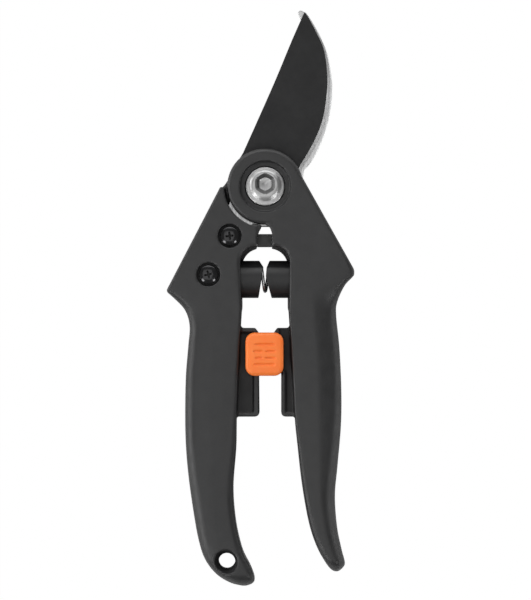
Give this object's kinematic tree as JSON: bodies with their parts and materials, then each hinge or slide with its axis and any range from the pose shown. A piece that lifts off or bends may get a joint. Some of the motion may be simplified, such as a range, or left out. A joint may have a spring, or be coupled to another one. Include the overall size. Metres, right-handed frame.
{
  "type": "pruning shears",
  "caption": "Bypass pruning shears with a curved coated blade over a steel hook, moulded handles, a coil return spring and a sliding lock button, shown closed and locked.",
  "frame": {"origin": "middle of the outline on the surface the closed shears lie on, face up", "axes": "+Y towards the blade's tip, +Z out of the front face with the screw heads and the lock button, +X towards the moving handle"},
  "size_m": [0.0669, 0.2049, 0.018],
  "materials": {
    "handle_plastic": "black fine-grained glass-filled nylon",
    "blade_coating": "black non-stick coating with a bare ground bevel",
    "hook_steel": "satin ground steel",
    "bolt_steel": "bright zinc-plated steel",
    "spring_steel": "drawn spring wire",
    "bush_bronze": "sintered bronze",
    "insert_brass": "turned brass",
    "screw_black": "black oxide",
    "bumper_rubber": "matt black rubber",
    "button_orange": "satin orange plastic"
  },
  "bodies": {
    "fixed_half": {"left_handle": "handle_plastic", "hook_blade": "hook_steel", "pivot_bolt": "bolt_steel", "pivot_bush": "bush_bronze", "pivot_spring_washer": "bolt_steel", "pivot_washer": "bolt_steel", "pivot_nut": "bolt_steel", "upper_hook_screw": "screw_black", "lower_hook_screw": "screw_black", "upper_hook_insert": "insert_brass", "lower_hook_insert": "insert_brass", "left_spring_cup": "handle_plastic", "return_spring": "spring_steel", "bumper": "bumper_rubber", "lock_detent_spring": "spring_steel"},
    "moving_half": {"right_handle": "handle_plastic", "cutting_blade": "blade_coating", "upper_blade_screw": "screw_black", "lower_blade_screw": "screw_black", "upper_blade_insert": "insert_brass", "lower_blade_insert": "insert_brass", "right_spring_cup": "handle_plastic"},
    "lock": {"lock_button": "button_orange", "lock_slider": "handle_plastic", "lock_screw": "spring_steel"}
  },
  "joints": [
    {"name": "blade_pivot", "type": "hinge", "parent": "fixed_half", "child": "moving_half", "pos_m": [0.00165, 0.03965, 0.01], "axis": [0, 0, 1], "range_deg": [0, 30], "deforming": ["return_spring"]},
    {"name": "lock_slide", "type": "slide", "parent": "fixed_half", "child": "lock", "axis": [0, -1, 0], "range_m": [0, 0.0125]}
  ]
}
